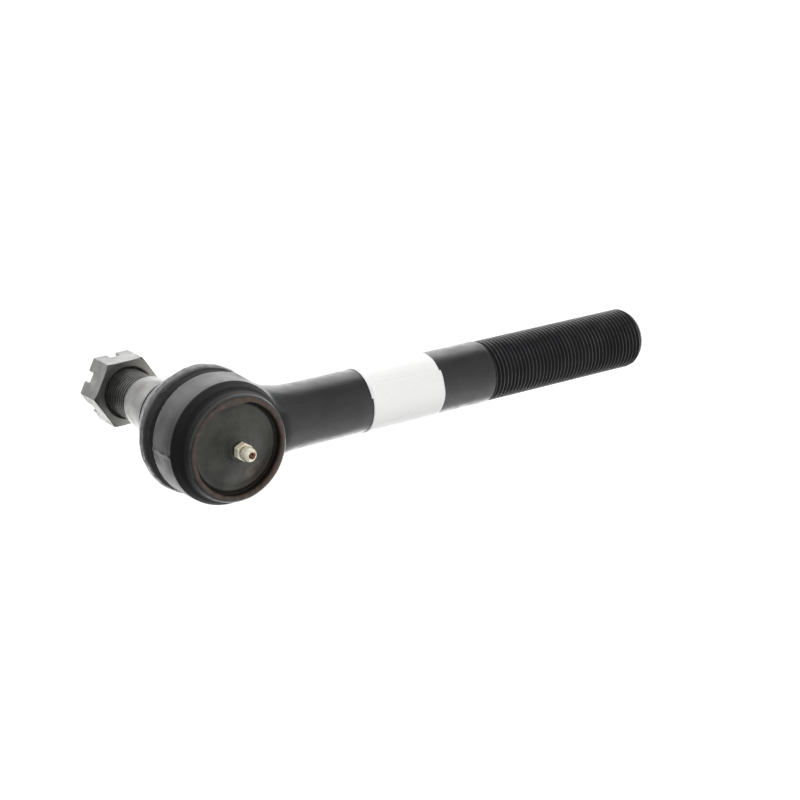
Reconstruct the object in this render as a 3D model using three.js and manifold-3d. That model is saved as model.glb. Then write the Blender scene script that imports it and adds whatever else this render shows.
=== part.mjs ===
// Heavy-duty tie rod end, straight type, with a 1-1/8"-12 shank thread and a 7/8"-14 stud thread.
// Millimetres. The origin is the centre of the ball. +X runs along the shank to its threaded end,
// +Y runs along the ball stud to its nut, so the cover faces -Y, and +Z is up.
import * as THREE from 'three'
import { mergeVertices } from 'three/addons/utils/BufferGeometryUtils.js'
import Module from 'manifold-3d'

const wasm = await Module()
wasm.setup()

// ---- driving dimensions ----
const GAP = 0.3
const INCH = 25.4

// socket and shank forging
const BARREL_R = 27.6
const BARREL_FRONT_Y = -13.7
const BARREL_BACK_Y = 4.7
const LIP_BASE_R = 24.9
const LIP_BASE_Y = -16.9
const LIP_SHOULDER_R = 23.5
const LIP_SHOULDER_Y = -22.4
const LIP_CREST_R = 22.2
const LIP_CREST_Y = -23.4
const LIP_BORE_R = 20.5
const SEAT_R = 24.6
const SOCKET_END_Y = 13.6
const BORE_R = 20.8
const BORE_END_Y = 5.9
const MOUTH_R = 15.4
const MOUTH_END_R = 18
const SHANK_R = 14.55
const NECK_END_X = 47
const NECK_EXTRA_Z = 10
const SHANK_END_X = 142.2
const GROOVE_R = 13.75
const THREAD_START_X = 143.7
const THREAD_END_X = 234.1
const SHANK_THREAD_R = (1.125 * INCH) / 2
const SHANK_PITCH = INCH / 12
const THREAD_DEPTH = 0.6134
const END_FACE_R = 11.25

// cover plate
const COVER_R = 21.6
const COVER_FACE_Y = -20
const COVER_THICK = 3.4
const BOSS_TOP_Y = -24.2
const BOSS_TOP_R = 5.6
const DOME_FOOT_R = 17.4
const DOME_TOP_Y = -23.2

// grease fitting
const FITTING_HEX_AF = (9 / 32) * INCH
const FITTING_HEX_LEN = 2.9
const FITTING_TURN_DEG = 34
const FITTING_STAND_OFF = 1.2
const FITTING_SHANK_R = 2.6
const FITTING_TIP_Y = -34
const CHAMBER_R = 1.65
const SEAT_HOLE_R = 0.95
const CHECK_BALL_R = 1.2
const CHECK_BALL_Y = -32.15

// ball stud
const BALL_R = 14
const BALL_FLAT_Y = -11.4
const STUD_NECK_R = 10.6
const TAPER_BIG_R = 14.3
const TAPER_START_Y = 24
const TAPER_END_Y = 58.3
const TAPER_RATIO = 1 / 16
const STUD_THREAD_R = (0.875 * INCH) / 2
const STUD_PITCH = INCH / 14
const STUD_END_Y = 93
const PIN_HOLE_R = 2.2

// slotted nut
const NUT_AF = (19 / 16) * INCH
const NUT_FACE_Y = 76.2
const NUT_THICK = 15.5
const NUT_SLOT_WIDTH = 4.8
const NUT_SLOT_DEPTH = 4.7
const NUT_TURN_DEG = -2

// bearings and preload spring
const BEARING_R = 20.5
const BALL_SEAT_R = BALL_R + GAP
const RACE_LOW_Y = 1
const RACE_TOP_Y = 5.6
const CUP_TOP_Y = -1
const CUP_FLOOR_Y = -14.4
const GREASE_HOLE_R = 4.2
const SPRING_OUTER_R = 18
const SPRING_INNER_R = 9
const SPRING_THICK = 0.9

// dust boot and its retaining ring
const BEAD_R = 29.1
const BEAD_LOW_Y = 5
const BEAD_TOP_Y = 12.9
const LIP_END_Y = 35.4
const LIP_OUTER_R = 16.9
const RING_WIRE_R = 0.8
const RING_MEAN_R = 16.1
const RING_Y = 33

// label
const LABEL_START_X = 73.9
const LABEL_END_X = 113.1
const LABEL_GAP = 0.1
const LABEL_THICK = 0.16

// facets
const SEG = 40
const MID_SEG = 28
const THREAD_SEG = 16

// ---- helpers ----
const V2 = (r, y) => new THREE.Vector2(r, y)

// Joins shared corners and drops faces with no area.
function weld(geometry) {
  const g = geometry.clone()
  g.deleteAttribute('normal')
  g.deleteAttribute('uv')
  const merged = mergeVertices(g, 1e-5)
  const index = merged.index.array
  const kept = []
  for (let i = 0; i < index.length; i += 3) {
    const [a, b, c] = [index[i], index[i + 1], index[i + 2]]
    if (a !== b && b !== c && c !== a) kept.push(a, b, c)
  }
  merged.setIndex(kept)
  return merged
}

function toSolid(geometry) {
  const g = weld(geometry)
  return new wasm.Manifold(new wasm.Mesh({
    numProp: 3,
    vertProperties: new Float32Array(g.attributes.position.array),
    triVerts: new Uint32Array(g.index.array),
  }))
}

function toGeometry(solid) {
  const m = solid.getMesh()
  const g = new THREE.BufferGeometry()
  const position = new Float32Array(m.numVert * 3)
  for (let i = 0; i < m.numVert; i++) {
    for (let k = 0; k < 3; k++) position[3 * i + k] = m.vertProperties[m.numProp * i + k]
  }
  g.setAttribute('position', new THREE.BufferAttribute(position, 3))
  g.setIndex(Array.from(m.triVerts))
  return g
}

// Turns a profile of [radius, height] points, listed counter-clockwise, about the stud axis, Y.
function turnY(points, segments = SEG) {
  return new THREE.LatheGeometry(points.map(([r, y]) => V2(r, y)), segments)
}

// The same about the shank axis, X.
function turnX(points, segments = SEG) {
  return turnY(points, segments).rotateZ(-Math.PI / 2)
}

function ringY(points, segments = SEG) {
  return turnY([...points, points[0]], segments)
}

function ringX(points, segments = SEG) {
  return turnX([...points, points[0]], segments)
}

// Points on an arc of the given radius about the origin, from one height to another.
function ballArc(radius, fromY, toY, steps) {
  const from = Math.asin(fromY / radius)
  const to = Math.asin(toY / radius)
  const points = []
  for (let i = 0; i <= steps; i++) {
    const a = from + ((to - from) * i) / steps
    points.push([radius * Math.cos(a), radius * Math.sin(a)])
  }
  return points
}

// A right-hand screw about Y, starting at height 0, with a sharp V form.
function screw(rootR, crestR, pitch, turns, segments = THREAD_SEG) {
  const position = []
  const index = []
  const count = turns * segments + 1
  const put = (r, k, lift) => {
    const a = (2 * Math.PI * k) / segments
    position.push(r * Math.sin(a), (pitch * k) / segments + lift, r * Math.cos(a))
  }
  for (let k = 0; k < count + segments; k++) put(rootR, k, 0)
  for (let k = 0; k < count; k++) put(crestR, k, pitch / 2)
  const root = (k) => k
  const crest = (k) => count + segments + k
  for (let k = 0; k < count - 1; k++) {
    index.push(root(k), root(k + 1), crest(k), root(k + 1), crest(k + 1), crest(k))
    index.push(crest(k), crest(k + 1), root(k + segments))
    index.push(crest(k + 1), root(k + segments + 1), root(k + segments))
  }
  const last = count - 1
  const low = position.length / 3
  position.push(0, 0, 0)
  const high = low + 1
  position.push(0, (pitch * (last + segments)) / segments, 0)
  for (let k = 0; k < segments; k++) {
    index.push(low, root(k + 1), root(k))
    index.push(high, root(last + k), root(last + k + 1))
  }
  index.push(low, root(0), crest(0), low, crest(0), root(segments))
  index.push(high, crest(last), root(last), high, root(last + segments), crest(last))
  const g = new THREE.BufferGeometry()
  g.setAttribute('position', new THREE.Float32BufferAttribute(position, 3))
  g.setIndex(index)
  return g
}

// A round wire wound about Y, with closed ends.
function coil(meanR, wireR, fromY, toY, turns, sides = 6, steps = 12) {
  const position = []
  const index = []
  const count = turns * steps
  const rise = (toY - fromY) / count
  for (let i = 0; i <= count; i++) {
    const a = (2 * Math.PI * i) / steps
    for (let s = 0; s < sides; s++) {
      const b = (2 * Math.PI * s) / sides
      const r = meanR + wireR * Math.cos(b)
      position.push(r * Math.sin(a), fromY + rise * i + wireR * Math.sin(b), r * Math.cos(a))
    }
  }
  for (let i = 0; i < count; i++) {
    for (let s = 0; s < sides; s++) {
      const t = (s + 1) % sides
      const [p, q] = [i * sides + s, i * sides + t]
      index.push(p, p + sides, q, q, p + sides, q + sides)
    }
  }
  for (let s = 1; s < sides - 1; s++) {
    index.push(0, s, s + 1)
    index.push(count * sides, count * sides + s + 1, count * sides + s)
  }
  const g = new THREE.BufferGeometry()
  g.setAttribute('position', new THREE.Float32BufferAttribute(position, 3))
  g.setIndex(index)
  return g
}

// A six-sided bar about Y, with corners at turnDeg from +X.
function hexBar(acrossFlats, lowY, highY, turnDeg = 0) {
  const r = acrossFlats / Math.sqrt(3)
  const bar = new THREE.CylinderGeometry(r, r, highY - lowY, 6)
  return bar.rotateY(Math.PI / 2 + THREE.MathUtils.degToRad(turnDeg)).translate(0, (lowY + highY) / 2, 0)
}

// ---- materials ----
function material(color, roughness, metalness) {
  return new THREE.MeshStandardMaterial({ color, roughness, metalness })
}

const FINISH = {
  blackPaint: [0x2b2b2d, 0.42, 0.2],
  phosphate: [0x45473f, 0.6, 0.4],
  yellowZinc: [0xcbb67a, 0.35, 0.9],
  machinedSteel: [0xb4b3ae, 0.4, 0.9],
  greySteel: [0x85857f, 0.5, 0.8],
  bearingSteel: [0x8f9092, 0.35, 0.9],
  springSteel: [0x5a5d62, 0.4, 0.9],
  rubber: [0x1d1d1e, 0.85, 0],
  paper: [0xeeeeec, 0.75, 0],
}

const group = new THREE.Group()
group.name = 'tie_rod_end'

function add(name, geometry, finish) {
  const g = weld(geometry).toNonIndexed()
  g.computeVertexNormals()
  const mesh = new THREE.Mesh(g, material(...FINISH[finish]))
  mesh.name = name
  group.add(mesh)
}

// ---- socket and shank forging ----
function buildForging() {
  const barrel = toSolid(turnY([
    [0, LIP_CREST_Y],
    [LIP_CREST_R - 0.1, LIP_CREST_Y],
    [LIP_CREST_R + 0.5, LIP_CREST_Y + 0.3],
    [LIP_SHOULDER_R - 0.2, LIP_SHOULDER_Y - 0.4],
    [LIP_SHOULDER_R, LIP_SHOULDER_Y + 0.3],
    [LIP_BASE_R - 0.4, LIP_BASE_Y - 0.9],
    [LIP_BASE_R, LIP_BASE_Y],
    [BARREL_R - 0.6, BARREL_FRONT_Y - 0.6],
    [BARREL_R - 0.1, BARREL_FRONT_Y],
    [BARREL_R, BARREL_FRONT_Y + 0.6],
    [BARREL_R, BARREL_BACK_Y - 1.7],
    [BARREL_R - 0.3, BARREL_BACK_Y - 0.7],
    [BARREL_R - 1.1, BARREL_BACK_Y],
    [SEAT_R, BARREL_BACK_Y],
    [SEAT_R, SOCKET_END_Y - 0.5],
    [SEAT_R - 0.5, SOCKET_END_Y],
    [0, SOCKET_END_Y],
  ]))

  const neck = [[0, 0], [SHANK_R, 0]]
  const steps = 9
  const firstX = BARREL_R - 13
  for (let i = 0; i <= steps; i++) neck.push([SHANK_R, firstX + ((NECK_END_X - firstX) * i) / steps])
  const shankGeometry = weld(turnX([
    ...neck,
    [SHANK_R, SHANK_END_X],
    [GROOVE_R, SHANK_END_X + 1.3],
    [GROOVE_R - 0.1, SHANK_END_X + 2.4],
    [0, SHANK_END_X + 2.4],
  ]))
  const at = shankGeometry.attributes.position
  for (let i = 0; i < at.count; i++) {
    const left = Math.max(0, (NECK_END_X - Math.max(at.getX(i), firstX)) / (NECK_END_X - firstX))
    at.setZ(i, at.getZ(i) * (1 + (NECK_EXTRA_Z / SHANK_R) * left ** 2.8))
  }
  const shank = toSolid(shankGeometry)

  const screwR = SHANK_THREAD_R - THREAD_DEPTH * SHANK_PITCH
  const turns = Math.ceil((THREAD_END_X - THREAD_START_X) / SHANK_PITCH) + 2
  const rawScrew = screw(screwR, SHANK_THREAD_R, SHANK_PITCH, turns)
    .rotateZ(-Math.PI / 2)
    .translate(THREAD_START_X - 1.5 * SHANK_PITCH, 0, 0)
  const blank = turnX([
    [0, THREAD_START_X - 0.4],
    [SHANK_THREAD_R - 0.7, THREAD_START_X - 0.4],
    [SHANK_THREAD_R + 0.6, THREAD_START_X + 0.9],
    [SHANK_THREAD_R + 0.6, THREAD_END_X - 5.4],
    [SHANK_THREAD_R - 0.9, THREAD_END_X - 2.4],
    [END_FACE_R, THREAD_END_X],
    [0, THREAD_END_X],
  ], THREAD_SEG)
  const thread = toSolid(rawScrew).intersect(toSolid(blank))

  const cavity = toSolid(turnY([
    [0, LIP_CREST_Y - 2],
    [LIP_BORE_R + 0.3, LIP_CREST_Y - 2],
    [LIP_BORE_R + 0.3, LIP_CREST_Y],
    [LIP_BORE_R, LIP_CREST_Y + 0.5],
    [LIP_BORE_R, COVER_FACE_Y - GAP],
    [COVER_R + GAP, COVER_FACE_Y - GAP],
    [COVER_R + GAP, COVER_FACE_Y + COVER_THICK + GAP],
    [BORE_R, COVER_FACE_Y + COVER_THICK + GAP],
    [BORE_R, BORE_END_Y],
    [MOUTH_R, BORE_END_Y],
    [MOUTH_END_R, SOCKET_END_Y + 0.01],
    [MOUTH_END_R, SOCKET_END_Y + 5],
    [0, SOCKET_END_Y + 5],
  ]))
  const bootSeat = toSolid(turnY([
    [0, SOCKET_END_Y],
    [SEAT_R - 0.5, SOCKET_END_Y],
    [SEAT_R, SOCKET_END_Y - 0.5],
    [SEAT_R, BARREL_BACK_Y],
    [BEAD_R + 1.6, BARREL_BACK_Y],
    [BEAD_R + 1.6, SOCKET_END_Y + 5],
    [0, SOCKET_END_Y + 5],
  ]))
  return barrel.add(shank.subtract(bootSeat)).add(thread).subtract(cavity)
}
add('socket_forging', toGeometry(buildForging()), 'blackPaint')

// ---- cover plate and grease fitting ----
const coverInnerY = COVER_FACE_Y + COVER_THICK
const threadHoleR = FITTING_SHANK_R + GAP
add('cover_plate', ringY([
  [threadHoleR, BOSS_TOP_Y],
  [BOSS_TOP_R, BOSS_TOP_Y],
  [BOSS_TOP_R + 0.9, DOME_TOP_Y],
  [(BOSS_TOP_R + DOME_FOOT_R) / 2, COVER_FACE_Y + (DOME_TOP_Y - COVER_FACE_Y) * 0.62],
  [DOME_FOOT_R, COVER_FACE_Y],
  [COVER_R - 0.4, COVER_FACE_Y],
  [COVER_R, COVER_FACE_Y + 0.4],
  [COVER_R, coverInnerY - 0.3],
  [COVER_R - 0.3, coverInnerY],
  [DOME_FOOT_R - 0.5, coverInnerY],
  [(BOSS_TOP_R + DOME_FOOT_R) / 2 - 0.7, coverInnerY + (DOME_TOP_Y - COVER_FACE_Y) * 0.62],
  [BOSS_TOP_R, DOME_TOP_Y + COVER_THICK],
  [threadHoleR, BOSS_TOP_Y + COVER_THICK],
]), 'phosphate')

function buildFitting() {
  const hexFarY = BOSS_TOP_Y - FITTING_STAND_OFF
  const hexNearY = hexFarY - FITTING_HEX_LEN
  const hexR = FITTING_HEX_AF / Math.sqrt(3)
  const innerEndY = BOSS_TOP_Y + COVER_THICK + 0.6
  const hex = toSolid(hexBar(FITTING_HEX_AF, hexNearY, hexFarY, FITTING_TURN_DEG))
  const hexTrim = toSolid(turnY([
    [0, hexNearY - 1],
    [hexR - 1.9, hexNearY - 1],
    [hexR - 0.5, hexNearY],
    [hexR + 0.1, hexNearY + 0.65],
    [hexR + 0.1, hexFarY - 0.3],
    [hexR - 0.4, hexFarY],
    [0, hexFarY],
  ], 24))
  const head = toSolid(turnY([
    [0, FITTING_TIP_Y],
    [2.05, FITTING_TIP_Y],
    [2.45, FITTING_TIP_Y + 0.4],
    [3.15, hexNearY - 2.7],
    [3.15, hexNearY - 1.7],
    [2.45, hexNearY - 1.1],
    [2.45, hexNearY + 0.5],
    [FITTING_SHANK_R, hexFarY - 0.5],
    [FITTING_SHANK_R, innerEndY - 0.4],
    [FITTING_SHANK_R - 0.4, innerEndY],
    [0, innerEndY],
  ], 24))
  const passage = toSolid(turnY([
    [0, FITTING_TIP_Y - 1],
    [SEAT_HOLE_R + 1.2, FITTING_TIP_Y - 1],
    [SEAT_HOLE_R + 0.25, FITTING_TIP_Y],
    [SEAT_HOLE_R, FITTING_TIP_Y + 0.25],
    [SEAT_HOLE_R, FITTING_TIP_Y + 0.7],
    [CHAMBER_R, FITTING_TIP_Y + 1.4],
    [CHAMBER_R, -25.6],
    [0.8, -25],
    [0.8, innerEndY + 1],
    [0, innerEndY + 1],
  ], 24))
  return hex.intersect(hexTrim).add(head).subtract(passage)
}
add('grease_fitting_body', toGeometry(buildFitting()), 'yellowZinc')

const checkBall = new THREE.SphereGeometry(CHECK_BALL_R, 12, 8).translate(0, CHECK_BALL_Y, 0)
add('grease_check_ball', checkBall, 'bearingSteel')

const CHECK_SPRING_WIRE_R = 0.2
const checkSpringFromY = CHECK_BALL_Y + CHECK_BALL_R + GAP + CHECK_SPRING_WIRE_R
add('grease_check_spring', coil(1.15, CHECK_SPRING_WIRE_R, checkSpringFromY, -26, 5), 'springSteel')

// ---- bearings and preload spring ----
add('stud_side_bearing', ringY([
  [BEARING_R, RACE_LOW_Y],
  [BEARING_R, RACE_TOP_Y - 0.5],
  [BEARING_R - 0.5, RACE_TOP_Y],
  ...ballArc(BALL_SEAT_R, RACE_TOP_Y, RACE_LOW_Y, 4),
], MID_SEG), 'bearingSteel')

add('pressure_bearing', ringY([
  [GREASE_HOLE_R, CUP_FLOOR_Y],
  [BEARING_R - 0.5, CUP_FLOOR_Y],
  [BEARING_R, CUP_FLOOR_Y + 0.5],
  [BEARING_R, CUP_TOP_Y],
  ...ballArc(BALL_SEAT_R, CUP_TOP_Y, -Math.sqrt(BALL_SEAT_R ** 2 - GREASE_HOLE_R ** 2), 7),
], MID_SEG), 'bearingSteel')

const springTopY = CUP_FLOOR_Y - GAP
const springLowY = coverInnerY + GAP
add('preload_spring', ringY([
  [SPRING_INNER_R, springTopY - SPRING_THICK],
  [SPRING_OUTER_R, springLowY],
  [SPRING_OUTER_R, springLowY + SPRING_THICK],
  [SPRING_INNER_R, springTopY],
], MID_SEG), 'springSteel')

// ---- ball stud ----
function buildStud() {
  const neckBallY = Math.sqrt(BALL_R ** 2 - STUD_NECK_R ** 2)
  const taperEndR = TAPER_BIG_R - (TAPER_END_Y - TAPER_START_Y) * TAPER_RATIO
  const coreR = STUD_THREAD_R - THREAD_DEPTH * STUD_PITCH
  const body = toSolid(turnY([
    [0, BALL_FLAT_Y],
    ...ballArc(BALL_R, BALL_FLAT_Y, neckBallY, 9),
    [STUD_NECK_R, 16.2],
    [STUD_NECK_R + 0.5, 18.2],
    [STUD_NECK_R + 1.6, 20.4],
    [TAPER_BIG_R - 0.6, 22.6],
    [TAPER_BIG_R, TAPER_START_Y],
    [taperEndR + 0.03, TAPER_END_Y - 0.4],
    [taperEndR - 0.3, TAPER_END_Y],
    [coreR, TAPER_END_Y + 1],
    [0, TAPER_END_Y + 1],
  ], MID_SEG))
  const turns = Math.ceil((STUD_END_Y - TAPER_END_Y) / STUD_PITCH) + 2
  const rawScrew = screw(coreR, STUD_THREAD_R, STUD_PITCH, turns)
    .translate(0, TAPER_END_Y - 1.5 * STUD_PITCH, 0)
  const blank = turnY([
    [0, TAPER_END_Y - 0.5],
    [STUD_THREAD_R - 0.2, TAPER_END_Y - 0.5],
    [STUD_THREAD_R + 0.5, TAPER_END_Y + 0.6],
    [STUD_THREAD_R + 0.5, STUD_END_Y - 2.2],
    [STUD_THREAD_R - 1.3, STUD_END_Y],
    [0, STUD_END_Y],
  ], THREAD_SEG)
  const thread = toSolid(rawScrew).intersect(toSolid(blank))
  const pinHole = new THREE.CylinderGeometry(PIN_HOLE_R, PIN_HOLE_R, 40, 16)
    .rotateX(Math.PI / 2)
    .translate(0, NUT_FACE_Y + NUT_THICK - NUT_SLOT_DEPTH / 2 - 0.1, 0)
  return body.add(thread).subtract(toSolid(pinHole))
}
add('ball_stud', toGeometry(buildStud()), 'machinedSteel')

// ---- slotted nut ----
function buildNut() {
  const far = NUT_FACE_Y + NUT_THICK
  const cornerR = NUT_AF / Math.sqrt(3)
  const boreR = STUD_THREAD_R + GAP
  const bar = toSolid(hexBar(NUT_AF, NUT_FACE_Y, far, NUT_TURN_DEG))
  const trim = toSolid(turnY([
    [0, NUT_FACE_Y],
    [cornerR - 0.9, NUT_FACE_Y],
    [cornerR + 0.1, NUT_FACE_Y + 0.5],
    [cornerR + 0.1, far - 0.7],
    [cornerR - 1.3, far],
    [0, far],
  ], MID_SEG))
  const bore = toSolid(turnY([
    [0, NUT_FACE_Y - 1],
    [boreR + 1.6, NUT_FACE_Y - 1],
    [boreR + 0.6, NUT_FACE_Y],
    [boreR, NUT_FACE_Y + 0.6],
    [boreR, far - 0.6],
    [boreR + 0.6, far],
    [boreR + 1.6, far + 1],
    [0, far + 1],
  ], MID_SEG))
  let nut = bar.intersect(trim).subtract(bore)
  for (let i = 0; i < 3; i++) {
    const slot = new THREE.BoxGeometry(NUT_SLOT_WIDTH, NUT_SLOT_DEPTH * 2, NUT_AF * 1.5)
      .translate(0, far, 0)
      .rotateY(THREE.MathUtils.degToRad(NUT_TURN_DEG + 60 * i))
    nut = nut.subtract(toSolid(slot))
  }
  return nut
}
add('slotted_nut', toGeometry(buildNut()), 'greySteel')

// ---- dust boot and its retaining ring ----
const bootBoreR = SEAT_R + GAP
const lipBoreR = TAPER_BIG_R + GAP
const grooveR = RING_MEAN_R - RING_WIRE_R - GAP
add('dust_boot', ringY([
  [bootBoreR, BEAD_LOW_Y],
  [BEAD_R - 2, BEAD_LOW_Y],
  [BEAD_R - 0.8, BEAD_LOW_Y + 0.8],
  [BEAD_R - 0.1, BEAD_LOW_Y + 2.2],
  [BEAD_R, BEAD_TOP_Y - 1.4],
  [BEAD_R - 0.5, BEAD_TOP_Y - 0.6],
  [BEAD_R - 1.6, BEAD_TOP_Y],
  [BEAD_R - 2.4, BEAD_TOP_Y + 0.9],
  [25.2, 17.2],
  [23.3, 21.2],
  [21.2, 25],
  [18.6, 28.4],
  [LIP_OUTER_R, 30.2],
  [LIP_OUTER_R, RING_Y - RING_WIRE_R - GAP],
  [grooveR, RING_Y - RING_WIRE_R - GAP],
  [grooveR, RING_Y + RING_WIRE_R + GAP],
  [LIP_OUTER_R, RING_Y + RING_WIRE_R + GAP],
  [LIP_OUTER_R - 0.4, LIP_END_Y],
  [lipBoreR, LIP_END_Y],
  [lipBoreR, 29.6],
  [16.4, 27.8],
  [19.2, 24.4],
  [21.5, 20.8],
  [23.1, 17],
  [bootBoreR, SOCKET_END_Y + GAP],
], MID_SEG), 'rubber')

const ringSection = []
for (let i = 0; i < 8; i++) {
  const a = (2 * Math.PI * i) / 8
  ringSection.push([RING_MEAN_R + RING_WIRE_R * Math.cos(a), RING_Y + RING_WIRE_R * Math.sin(a)])
}
add('boot_retaining_ring', ringY(ringSection, MID_SEG), 'springSteel')

// ---- label ----
const labelInnerR = SHANK_R + LABEL_GAP
add('label', ringX([
  [labelInnerR, LABEL_START_X],
  [labelInnerR + LABEL_THICK, LABEL_START_X],
  [labelInnerR + LABEL_THICK, LABEL_END_X],
  [labelInnerR, LABEL_END_X],
]), 'paper')

export default group
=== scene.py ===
import math

import bmesh
import bpy
import numpy as np
from mathutils import Matrix, Vector


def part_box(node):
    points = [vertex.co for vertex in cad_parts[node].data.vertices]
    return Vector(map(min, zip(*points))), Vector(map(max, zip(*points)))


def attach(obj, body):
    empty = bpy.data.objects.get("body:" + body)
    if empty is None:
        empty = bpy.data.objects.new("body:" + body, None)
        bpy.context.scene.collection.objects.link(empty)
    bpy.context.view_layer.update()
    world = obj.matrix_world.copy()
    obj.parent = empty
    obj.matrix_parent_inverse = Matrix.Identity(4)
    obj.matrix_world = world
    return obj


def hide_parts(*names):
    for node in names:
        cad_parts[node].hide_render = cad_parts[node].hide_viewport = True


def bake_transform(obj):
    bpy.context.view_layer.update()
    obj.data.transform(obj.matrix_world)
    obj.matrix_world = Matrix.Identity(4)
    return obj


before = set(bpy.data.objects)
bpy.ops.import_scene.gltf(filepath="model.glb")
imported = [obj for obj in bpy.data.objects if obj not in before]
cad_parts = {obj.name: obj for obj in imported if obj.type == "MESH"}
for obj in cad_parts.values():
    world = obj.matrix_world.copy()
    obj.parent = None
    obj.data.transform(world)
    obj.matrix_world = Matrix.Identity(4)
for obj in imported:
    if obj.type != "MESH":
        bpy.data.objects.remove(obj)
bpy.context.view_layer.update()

# Lengths in this script are millimetres in the CAD frame, and MM turns them into metres.
MM = 0.001
INCH = 25.4
GAP = 0.3


def span(node, axis):
    """A CAD node's lowest and highest coordinate on one axis, in millimetres."""
    low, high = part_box(node)
    return low[axis] / MM, high[axis] / MM


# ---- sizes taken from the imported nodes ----
FRONT_Y, SOCKET_END_Y = span("socket_forging", 1)
BARREL_R = -span("socket_forging", 0)[0]
THREAD_END_X = span("socket_forging", 0)[1]
SHANK_THREAD_R = 1.125 * INCH / 2
SHANK_PITCH = INCH / 12
STUD_THREAD_R = 0.875 * INCH / 2
STUD_PITCH = INCH / 14
THREAD_DEPTH = 0.6134  # of the pitch
STUD_LOW_Y, STUD_END_Y = span("ball_stud", 1)
COVER_FRONT_Y, COVER_BACK_Y = span("cover_plate", 1)
COVER_R = span("cover_plate", 0)[1]
COVER_THICK = 3.4
COVER_FACE_Y = COVER_BACK_Y - COVER_THICK
FITTING_TIP_Y, FITTING_END_Y = span("grease_fitting_body", 1)
NUT_FACE_Y, NUT_FAR_Y = span("slotted_nut", 1)
BEAD_R = span("dust_boot", 0)[1]
BEAD_LOW_Y, BOOT_END_Y = span("dust_boot", 1)
LABEL_LOW_X, LABEL_HIGH_X = span("label", 0)
RING_LOW_Y, RING_HIGH_Y = span("boot_retaining_ring", 1)
RING_OUTER_R = span("boot_retaining_ring", 0)[1]

# ---- sizes repeated from the part's design ----
BARREL_FRONT_Y = -13.7
BARREL_BACK_Y = 4.7
LIP_BASE_R = 24.9
LIP_BASE_Y = -16.9
LIP_SHOULDER_R = 23.5
LIP_SHOULDER_Y = -22.4
LIP_CREST_R = 22.2
LIP_BORE_R = 20.5
SEAT_R = 24.6
BORE_R = 20.8
BORE_END_Y = 5.9
MOUTH_R = 15.4
MOUTH_END_R = 18
SHANK_R = 14.55
SHANK_END_X = 142.2
GROOVE_R = 13.75
END_FACE_R = 11.25
NECK_START_X = 14.6
NECK_END_X = 47
BALL_R = 14
NECK_R = 10.6
TAPER_R = 14.3
TAPER_START_Y = 24
TAPER_END_Y = 58.3
TAPER_RATIO = 1 / 16
PIN_HOLE_R = 2.2
NUT_AF = 19 / 16 * INCH
NUT_SLOT_WIDTH = 4.8
NUT_SLOT_DEPTH = 4.7
NUT_TURN = math.radians(-2)
BOSS_TOP_R = 5.6
DOME_FOOT_R = 17.4
DOME_TOP_Y = -23.2
HEX_AF = 9 / 32 * INCH
HEX_LEN = 2.9
HEX_STAND_OFF = 1.2
HEX_TURN = math.radians(34)


# ---- small tools for numbers ----
def smooth_min(a, b, reach):
    """The smaller of two distances, with a fillet of about reach where they cross."""
    h = np.clip(0.5 + 0.5 * (b - a) / reach, 0, 1)
    return b * (1 - h) + a * h - reach * h * (1 - h)


def smooth_max(a, b, reach):
    return -smooth_min(-a, -b, reach)


def ease(value, low, high):
    """Rises smoothly from 0 at low to 1 at high."""
    t = np.clip((value - low) / (high - low), 0, 1)
    return t * t * (3 - 2 * t)


def rounded(corners, closed=False, steps=5):
    """Turns corners of (radius, height, cut) into points, with each corner rounded over its cut."""
    points = []
    count = len(corners)
    for i, corner in enumerate(corners):
        here = np.array(corner[:2], float)
        cut = corner[2] if len(corner) > 2 else 0
        inner = closed or 0 < i < count - 1
        if not cut or not inner:
            points.append(tuple(here))
            continue
        before = np.array(corners[i - 1][:2], float) - here
        after = np.array(corners[(i + 1) % count][:2], float) - here
        reach = min(cut, 0.48 * np.linalg.norm(before), 0.48 * np.linalg.norm(after))
        start = here + before / np.linalg.norm(before) * reach
        end = here + after / np.linalg.norm(after) * reach
        for k in range(steps + 1):
            t = k / steps
            points.append(tuple((1 - t) ** 2 * start + 2 * t * (1 - t) * here + t * t * end))
    return points


def outline_distance(r, h, corners):
    """Signed distance, negative inside, from points (r, h) to a closed outline."""
    nearest = np.full(np.shape(r), 1e18)
    inside = np.zeros(np.shape(r), bool)
    for (r0, h0), (r1, h1) in zip(corners, corners[1:] + corners[:1]):
        dr, dh = r1 - r0, h1 - h0
        t = np.clip(((r - r0) * dr + (h - h0) * dh) / (dr * dr + dh * dh), 0, 1)
        nearest = np.minimum(nearest, (r - r0 - t * dr) ** 2 + (h - h0 - t * dh) ** 2)
        if dh:
            crosses = (h0 > h) != (h1 > h)
            inside ^= crosses & (r < r0 + (h - h0) * dr / dh)
    return np.where(inside, -1, 1) * np.sqrt(nearest)


# ---- small tools for meshes ----
def piece_from(name, shape, body, node=None, paint=None):
    """A smooth-shaded object on a CAD body, standing for a CAD node if one is named."""
    vertices, faces = shape
    mesh = bpy.data.meshes.new(name)
    faces = faces.tolist() if isinstance(faces, np.ndarray) else faces
    mesh.from_pydata((np.asarray(vertices, float) * MM).tolist(), [], faces)
    tidy = bmesh.new()
    tidy.from_mesh(mesh)
    bmesh.ops.remove_doubles(tidy, verts=tidy.verts, dist=1e-7)
    bmesh.ops.dissolve_degenerate(tidy, edges=tidy.edges, dist=1e-8)
    bmesh.ops.recalc_face_normals(tidy, faces=tidy.faces)
    tidy.to_mesh(mesh)
    tidy.free()
    mesh.shade_smooth()
    obj = bpy.data.objects.new(name, mesh)
    bpy.context.scene.collection.objects.link(obj)
    if paint:
        mesh.materials.append(paint)
    if body:
        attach(obj, body)
    if node:
        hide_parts(node)
    return obj


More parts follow.
